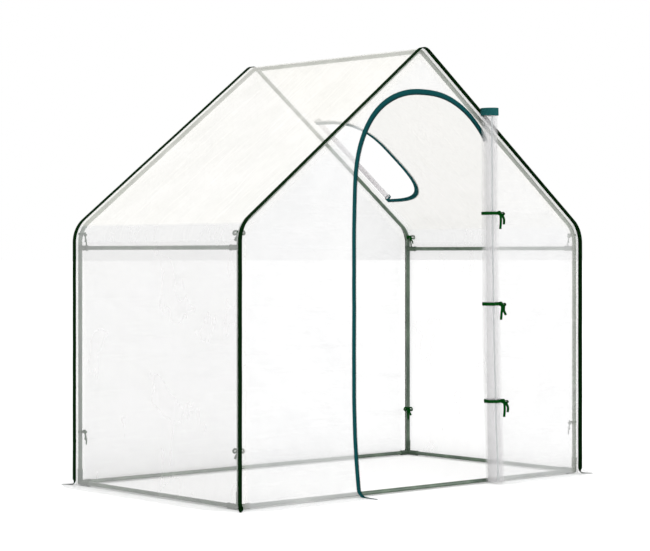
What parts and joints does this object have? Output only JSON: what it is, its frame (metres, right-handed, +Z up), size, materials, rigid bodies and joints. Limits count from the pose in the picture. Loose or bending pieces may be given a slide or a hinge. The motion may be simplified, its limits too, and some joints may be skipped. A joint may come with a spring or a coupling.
{
  "type": "plastic film greenhouse",
  "caption": "Small walk-in greenhouse: clear film cover over a green steel tube frame, with an arched door rolled up at the side and an open roof window.",
  "frame": {"origin": "on the ground, at the centre of the house's outline over its ground flaps", "axes": "+X along the gable, to the right of someone facing the door; +Y along the ridge, from the door to the back; +Z up"},
  "size_m": [1.9738, 1.1978, 1.6832],
  "materials": {
    "coated_tube": "glossy dark green powder coat on thin steel tube",
    "moulded_connector": "moulded dark green-grey plastic, satin",
    "clear_film": "clear, slightly milky soft PVC film, glossy",
    "rolled_film": "the same film in many layers, whitish",
    "edge_binding": "dark green woven binding tape",
    "zip_tape": "dark teal woven zip tape",
    "tie_strap": "dark green woven strap"
  },
  "bodies": {
    "root": {"corner_connector_front_left": "moulded_connector", "corner_connector_front_right": "moulded_connector", "corner_connector_back_left": "moulded_connector", "corner_connector_back_right": "moulded_connector", "base_rail_front_left_half": "coated_tube", "base_rail_front_right_half": "coated_tube", "base_rail_back_left_half": "coated_tube", "base_rail_back_right_half": "coated_tube", "base_rail_left_front_half": "coated_tube", "base_rail_left_back_half": "coated_tube", "base_rail_right_front_half": "coated_tube", "base_rail_right_back_half": "coated_tube", "post_front_left": "coated_tube", "post_front_right": "coated_tube", "post_back_left": "coated_tube", "post_back_right": "coated_tube", "side_rail_tee_front_left": "moulded_connector", "side_rail_tee_front_right": "moulded_connector", "side_rail_tee_back_left": "moulded_connector", "side_rail_tee_back_right": "moulded_connector", "side_rail_left": "coated_tube", "side_rail_right": "coated_tube", "eave_bend_front_left": "coated_tube", "eave_bend_front_right": "coated_tube", "eave_bend_back_left": "coated_tube", "eave_bend_back_right": "coated_tube", "rafter_front_left": "coated_tube", "rafter_front_right": "coated_tube", "rafter_back_left": "coated_tube", "rafter_back_right": "coated_tube", "apex_bend_front": "coated_tube", "apex_bend_back": "coated_tube", "ridge_tube": "coated_tube", "film_left_wall": "clear_film", "film_right_wall": "clear_film", "film_left_roof": "clear_film", "film_right_roof": "clear_film", "film_back_gable": "clear_film", "film_front_left": "clear_film", "film_front_right": "clear_film", "film_front_over_door": "clear_film", "skirt_left": "clear_film", "skirt_right": "clear_film", "skirt_back": "clear_film", "skirt_front": "clear_film", "edge_binding_front": "edge_binding", "edge_binding_back": "edge_binding", "door_zip_tape": "zip_tape", "door_roll": "rolled_film", "door_roll_band": "zip_tape", "door_ties": "tie_strap", "window_zip_tape": "zip_tape", "window_roll": "rolled_film", "window_roll_bands": "zip_tape", "upper_corner_ties": "tie_strap", "lower_corner_ties": "tie_strap"}
  },
  "joints": []
}
